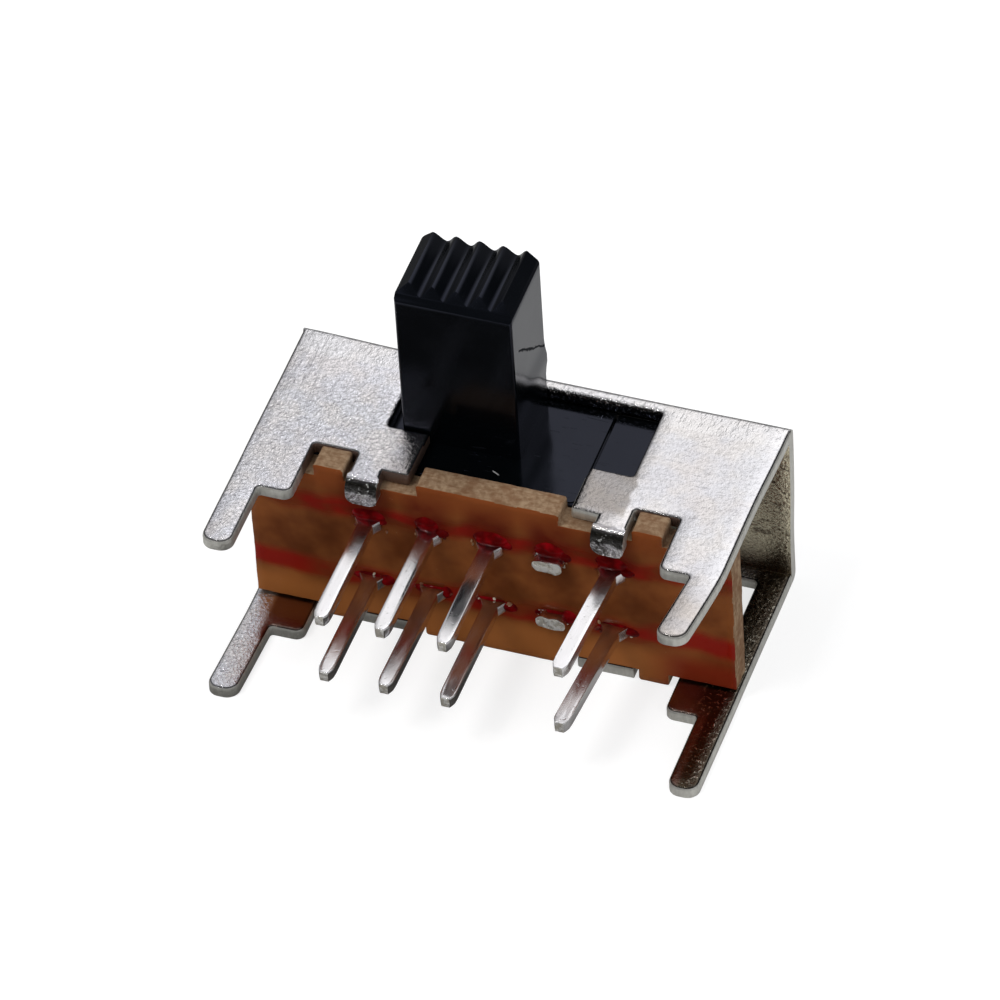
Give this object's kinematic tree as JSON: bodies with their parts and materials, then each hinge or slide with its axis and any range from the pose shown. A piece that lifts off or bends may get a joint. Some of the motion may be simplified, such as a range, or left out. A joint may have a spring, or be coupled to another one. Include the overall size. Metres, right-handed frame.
{
  "type": "slide switch",
  "caption": "Small right-angle slide switch: folded steel frame, ridged black knob on a sliding block, brown terminal board with rows of flat pins and frame legs for soldering.",
  "frame": {"origin": "on the seat plane of the frame's shoulders, at mid length, level with the outer face of the lower plate", "axes": "+X along the switch and the knob's travel, towards the end with the lone pins; +Y away from the circuit board, so the pins and legs point to -Y; +Z along the knob, away from the lower plate"},
  "size_m": [0.0162, 0.0104, 0.0126],
  "materials": {
    "plated_steel": "satin plated sheet steel",
    "black_plastic": "glossy moulded black",
    "phenolic_board": "brown phenolic paper with a satin face and fibrous cut edges",
    "tinned_metal": "bright tinned",
    "contact_metal": "satin spring bronze",
    "spring_steel": "polished steel",
    "red_lacquer": "glossy dark red lacquer"
  },
  "bodies": {
    "housing": {"frame": "plated_steel", "board": "phenolic_board", "terminal_a1": "tinned_metal", "terminal_a2": "tinned_metal", "terminal_a3": "tinned_metal", "terminal_a4": "tinned_metal", "terminal_b1": "tinned_metal", "terminal_b2": "tinned_metal", "terminal_b3": "tinned_metal", "terminal_b4": "tinned_metal", "seal_a": "red_lacquer", "seal_b": "red_lacquer"},
    "slider": {"slider": "black_plastic", "clip_a": "contact_metal", "clip_b": "contact_metal", "detent_spring": "spring_steel", "detent_ball": "spring_steel"}
  },
  "joints": [
    {"name": "slider_slide", "type": "slide", "parent": "housing", "child": "slider", "axis": [1, 0, 0], "range_m": [-0.0004, 0.0037]}
  ]
}
